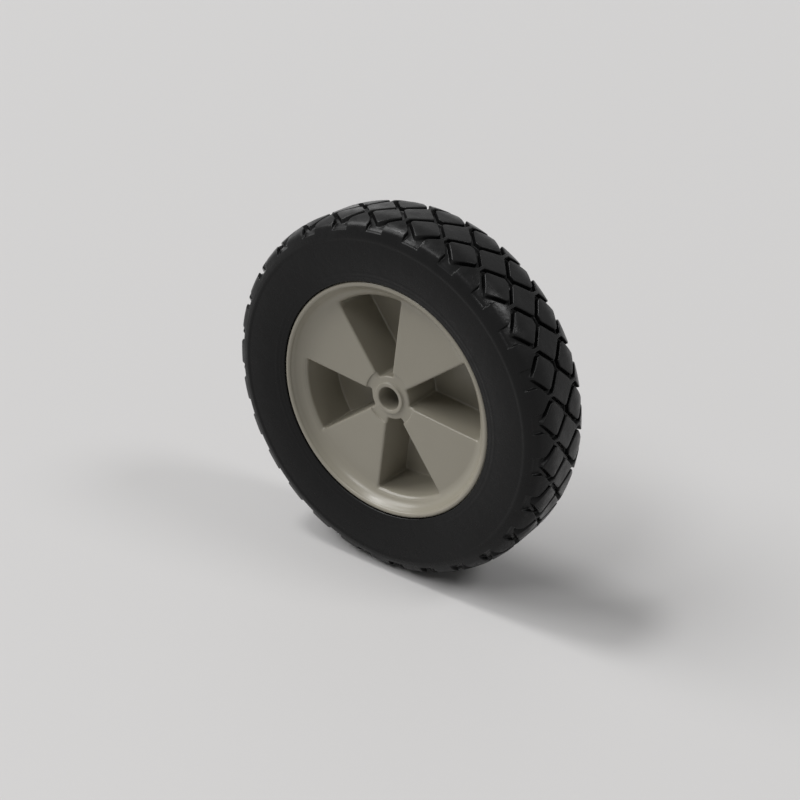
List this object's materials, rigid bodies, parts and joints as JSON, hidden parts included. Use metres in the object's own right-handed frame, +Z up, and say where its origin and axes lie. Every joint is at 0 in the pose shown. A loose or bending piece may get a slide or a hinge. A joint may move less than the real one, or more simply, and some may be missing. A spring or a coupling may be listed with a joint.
{
  "type": "wheel",
  "caption": "Garden machine wheel: a moulded plastic rim with wedge recesses round a plain bore, and a black rubber tyre with a diamond tread.",
  "frame": {"origin": "centre of the wheel, where the tyre's mid-plane meets the axis of the bore", "axes": "+Y along the bore, away from the show side; +Z up; the wheel stands upright on its tread"},
  "size_m": [0.2032, 0.0493, 0.2032],
  "materials": {
    "tyre": "matte",
    "rim": "satin"
  },
  "bodies": {
    "root": {"tyre": "tyre", "wheel_rim": "rim"}
  },
  "joints": []
}
